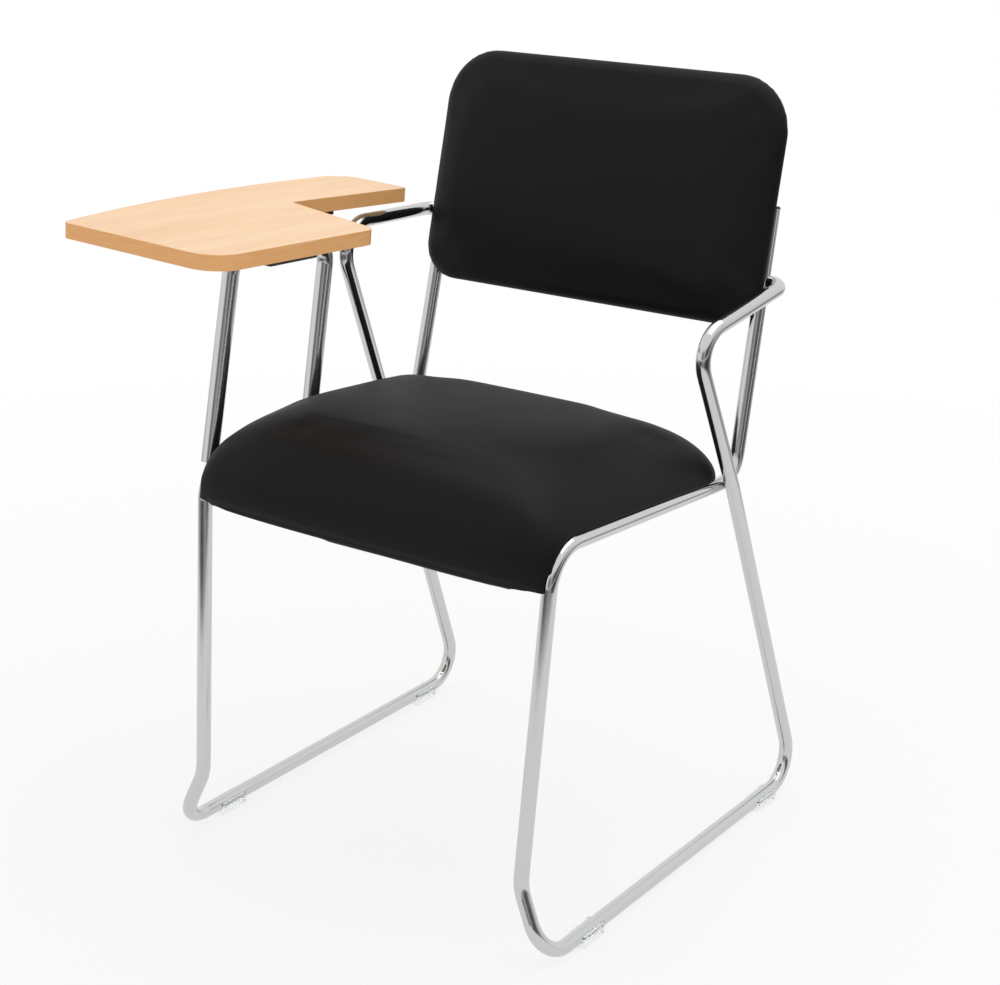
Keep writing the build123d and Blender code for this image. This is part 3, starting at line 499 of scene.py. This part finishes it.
STAPLE_EVERY = 0.035
STAPLE = (0.005, 0.0004, 0.0004)  # half sizes: along the hem, and the wire's two ways
mesh = bpy.data.meshes.new("hem_staples")
form = bmesh.new()
travelled = 0.0
for before, after in zip(hem_path, hem_path[1:]):
    start = (before[1] + before[2]) / 2
    along = (after[1] + after[2]) / 2 - start
    place_at = STAPLE_EVERY - travelled
    while place_at < along.length:
        turned = Matrix.Rotation(math.atan2(along.y, along.x), 4, "Z")
        at = Matrix.Translation(start + along.normalized() * place_at)
        bmesh.ops.create_cube(form, size=2.0, matrix=at @ turned @ Matrix.Diagonal((*STAPLE, 1)))
        place_at += STAPLE_EVERY
    travelled = (travelled + along.length) % STAPLE_EVERY
form.transform(ON_RAILS)
form.to_mesh(mesh)
form.free()
staples = bpy.data.objects.new("hem_staples", mesh)
bpy.context.scene.collection.objects.link(staples)
staples.data.materials.append(zinc)
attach(staples, "chair_frame")

# Back pad. A plywood panel with a thinner foam face, bagged in the same leatherette front and
# rear. Its rim is a full soft round, and its rear face beds on the two uprights.
BACK_LEAN = math.radians(14.55)
BACK_FOOT = (CHAIR_X, 0.2235, 0.5655)
ON_UPRIGHTS = Matrix.Translation(BACK_FOOT) @ Matrix.Rotation(math.pi / 2 - BACK_LEAN, 4, "X")
BACK_HALF_LOW = 0.2278
BACK_HALF_TOP = 0.2270
BACK_TALL = 0.2750
BACK_REAR = 0.001
BACK_THICK = 0.0255
BACK_TOP_ROUND = 0.067
BACK_LOW_ROUND = 0.046
BACK_CROWN = 0.002
BACK_RIM = 0.017                 # how far in the rounded rim reaches
BACK_STEPS = 8
BACK_HELD = 0.55                 # share of the thickness, from the rear, where the cover is fixed
UPRIGHT_X = 0.2190               # uprights' axes at the pad's lower edge
UPRIGHT_TOE_IN = 0.0186
UPRIGHT_END = 0.1385
UPRIGHT_BED = 0.0086


def back_outline(inset, count=14):
    """Back pad's outline, its edge moved in by inset."""
    corners = [(-BACK_HALF_LOW, 0, BACK_LOW_ROUND), (BACK_HALF_LOW, 0, BACK_LOW_ROUND),
               (BACK_HALF_TOP, BACK_TALL, BACK_TOP_ROUND), (-BACK_HALF_TOP, BACK_TALL, BACK_TOP_ROUND)]
    points = []
    for turn, (x, y, radius) in enumerate(corners):
        centre = Vector((x - math.copysign(radius, x), y + (radius if y == 0 else -radius)))
        for i in range(count + 1):
            angle = math.pi * (1 + turn / 2 + i / count / 2)
            reach = max(radius - inset, 0.001)
            shift = max(inset - radius + 0.001, 0)
            inward = Vector((-math.copysign(shift, x), shift if y == 0 else -shift))
            points.append(centre + inward + reach * Vector((math.cos(angle), math.sin(angle))))
    return points


def back_rings():
    """Outlines of the back pad from the middle of its rear face round its rim to the front."""
    half = BACK_THICK / 2
    steps = [(0.09, 0.0), (0.05, 0.0), (0.02, 0.0)]
    for i in range(BACK_STEPS + 1):
        angle = -math.pi / 2 + math.pi * i / BACK_STEPS
        steps.append((BACK_RIM * (1 - math.cos(angle)), half + half * math.sin(angle)))
    steps += [(0.03, BACK_THICK + BACK_CROWN * 0.3), (0.06, BACK_THICK + BACK_CROWN * 0.7),
              (0.09, BACK_THICK + BACK_CROWN)]
    return [[Vector((p.x, p.y, BACK_REAR + out)) for p in back_outline(inset)]
            for inset, out in steps]


back = closed_skin("back_pad", back_rings())
stuff(back, lambda co: co.z < BACK_REAR + BACK_THICK * BACK_HELD, 0.004, 12)
for vertex in back.data.vertices:
    side = math.copysign(UPRIGHT_X - UPRIGHT_TOE_IN * vertex.co.y, vertex.co.x)
    off = Vector((vertex.co.x - side, vertex.co.z))
    if vertex.co.y < UPRIGHT_END and off.length < UPRIGHT_BED:
        off = off.normalized() * UPRIGHT_BED
        vertex.co.x = side + off.x
        vertex.co.z = off.y
back.data.transform(ON_UPRIGHTS)
back.data.materials.append(leather)
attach(back, "chair_frame")
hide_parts("back_cover", "back_foam")

# Studio. A white floor and backdrop under a wide soft lamp. The chrome mirrors a room that is dark
# on the camera's side, darkest to the left and right of it: the floor past the white sweep and the
# low wall behind that. Both are hidden from the camera and cast no shade, so the chair's own light
# isn't changed by them.
CAMERA_SIDE = math.radians(52.8)  # turns the way to the camera onto +X
FLOOR_ACROSS = 60
SWEEP = (0.5, 2.0)               # the floor goes from the chair's soft shadow to pure white here


def rays_seen(tree):
    """Light path node, and a node that gives 1 to rays from the camera, a mirror or clear plastic."""
    path = add(tree, "ShaderNodeLightPath")
    mirrored = add(tree, "ShaderNodeMath", {
        0: path.outputs["Is Glossy Ray"], 1: path.outputs["Is Transmission Ray"]}, operation="MAXIMUM")
    seen = add(tree, "ShaderNodeMath", {
        0: path.outputs["Is Camera Ray"], 1: mirrored.outputs[0]}, operation="MAXIMUM")
    return path, seen


def dark_round_camera(tree, place, stops):
    """Darkness by the way round the chair: stops run from 0 to 1, with the camera at 0.5."""
    turned = add(tree, "ShaderNodeMapping", {"Vector": place, "Rotation": (0, 0, CAMERA_SIDE)})
    way = add(tree, "ShaderNodeTexGradient", {"Vector": turned.outputs[0]}, gradient_type="RADIAL")
    shade = add(tree, "ShaderNodeValToRGB", {"Fac": way.outputs["Fac"]})
    for at, value in stops:
        shade.color_ramp.elements.new(at).color = (value, value, value, 1)
    shade.color_ramp.elements[0].color = shade.color_ramp.elements[-1].color = (0, 0, 0, 1)
    return shade.outputs["Color"]


bpy.ops.mesh.primitive_plane_add(size=FLOOR_ACROSS)
floor = bpy.context.object
floor.name = "studio_floor"
sweep, tree = new_material("white_studio_floor")
path, seen = rays_seen(tree)
paper = add(tree, "ShaderNodeBsdfDiffuse", {"Color": srgb("F2F2F2")})
glow = add(tree, "ShaderNodeEmission", {"Color": (1, 1, 1, 1), "Strength": 1.0})
place = add(tree, "ShaderNodeTexCoord")
from_chair = add(tree, "ShaderNodeVectorMath", {0: place.outputs["Object"]}, operation="LENGTH")
fade = add(tree, "ShaderNodeMapRange", {
    "Value": from_chair.outputs["Value"], "From Min": SWEEP[0], "From Max": SWEEP[1],
    "To Min": 0.82, "To Max": 1.0})
share = add(tree, "ShaderNodeMath", {0: seen.outputs[0], 1: fade.outputs[0]}, operation="MULTIPLY")
finish_material(tree, add(tree, "ShaderNodeMixShader", {
    0: share.outputs[0], 1: paper.outputs[0], 2: glow.outputs[0]}))
floor.data.materials.append(sweep)

SKY_LIGHT = 0.72                 # backdrop's light on the chair; seen directly it is white
WALL_TOP = (0.25, 0.5)           # sines of the heights between which the dark wall ends
WALL_DARK = ((0.36, 0.0), (0.42, 0.85), (0.5, 0.5), (0.56, 0.9), (0.66, 0.85), (0.78, 0.0))
world = bpy.data.worlds.new("studio_sky")
bpy.context.scene.world = world
world.use_nodes = True
tree = world.node_tree
tree.nodes.clear()
path, seen = rays_seen(tree)
level = add(tree, "ShaderNodeMapRange", {"Value": seen.outputs[0], "To Min": SKY_LIGHT, "To Max": 1.0})
place = add(tree, "ShaderNodeTexCoord")
round_room = dark_round_camera(tree, place.outputs["Generated"], WALL_DARK)
height = add(tree, "ShaderNodeSeparateXYZ", {"Vector": place.outputs["Generated"]})
low = add(tree, "ShaderNodeMapRange", {
    "Value": height.outputs["Z"], "From Min": WALL_TOP[0], "From Max": WALL_TOP[1],
    "To Min": 1.0, "To Max": 0.0}, interpolation_type="SMOOTHSTEP")
wall = add(tree, "ShaderNodeMath", {0: round_room, 1: low.outputs[0]}, operation="MULTIPLY")
in_mirror = add(tree, "ShaderNodeMath", {
    0: wall.outputs[0], 1: path.outputs["Is Glossy Ray"]}, operation="MULTIPLY")
lit = add(tree, "ShaderNodeMath", {0: 1.0, 1: in_mirror.outputs[0]}, operation="SUBTRACT")
strength = add(tree, "ShaderNodeMath", {0: level.outputs[0], 1: lit.outputs[0]}, operation="MULTIPLY")
sky = add(tree, "ShaderNodeBackground", {"Color": (1, 1, 1, 1), "Strength": strength.outputs[0]})
add(tree, "ShaderNodeOutputWorld", {"Surface": sky.outputs[0]})

overhead = bpy.data.lights.new("overhead_softbox", "AREA")
overhead.shape = "RECTANGLE"
overhead.size = 2.4
overhead.size_y = 2.0
overhead.energy = 18.0
lamp = bpy.data.objects.new("overhead_softbox", overhead)
bpy.context.scene.collection.objects.link(lamp)
lamp.location = (0.2, 0.5, 2.6)

SURROUND = (1.2, 9.0)            # inner and outer radius of the dark floor
SURROUND_FADE = (1.2, 1.9)
SURROUND_LIFT = 0.004
SURROUND_SIDES = 64
SURROUND_DARK = ((0.12, 0.15), (0.25, 0.55), (0.36, 0.95), (0.5, 0.62), (0.60, 0.97), (0.72, 0.9),
                 (0.86, 0.25))
flag_black, tree = new_material("black_studio_flag")
place = add(tree, "ShaderNodeTexCoord")
reach = add(tree, "ShaderNodeVectorMath", {0: place.outputs["Object"]}, operation="LENGTH")
begins = add(tree, "ShaderNodeMapRange", {
    "Value": reach.outputs["Value"], "From Min": SURROUND_FADE[0], "From Max": SURROUND_FADE[1]},
    interpolation_type="SMOOTHSTEP")
round_floor = dark_round_camera(tree, place.outputs["Object"], SURROUND_DARK)
dark = add(tree, "ShaderNodeMath", {0: round_floor, 1: begins.outputs[0]}, operation="MULTIPLY")
black = add(tree, "ShaderNodeBsdfDiffuse", {"Color": srgb("060606")})
open_floor = add(tree, "ShaderNodeBsdfTransparent")
finish_material(tree, add(tree, "ShaderNodeMixShader", {
    0: dark.outputs[0], 1: open_floor.outputs[0], 2: black.outputs[0]}))
mesh = bpy.data.meshes.new("dark_surround")
form = bmesh.new()
ways = [2 * math.pi * i / SURROUND_SIDES for i in range(SURROUND_SIDES)]
rows = [[form.verts.new((r * math.cos(way), r * math.sin(way), SURROUND_LIFT)) for way in ways]
        for r in SURROUND]
for i in range(SURROUND_SIDES):
    j = (i + 1) % SURROUND_SIDES
    form.faces.new((rows[0][i], rows[0][j], rows[1][j], rows[1][i]))
form.to_mesh(mesh)
form.free()
surround = bpy.data.objects.new("dark_surround", mesh)
bpy.context.scene.collection.objects.link(surround)
surround.data.materials.append(flag_black)
surround.visible_camera = False
surround.visible_diffuse = False
surround.visible_shadow = False

camera_data = bpy.data.cameras.new("studio_camera")
camera = bpy.data.objects.new("studio_camera", camera_data)
bpy.context.scene.collection.objects.link(camera)
camera.location = (1.3416, -1.7662, 1.1730)
camera.rotation_euler = (math.radians(90 - 19.4), 0, math.radians(35.7))
camera_data.lens = 76.86
camera_data.sensor_width = 36
bpy.context.scene.camera = camera
bpy.context.scene.view_settings.view_transform = "Standard"
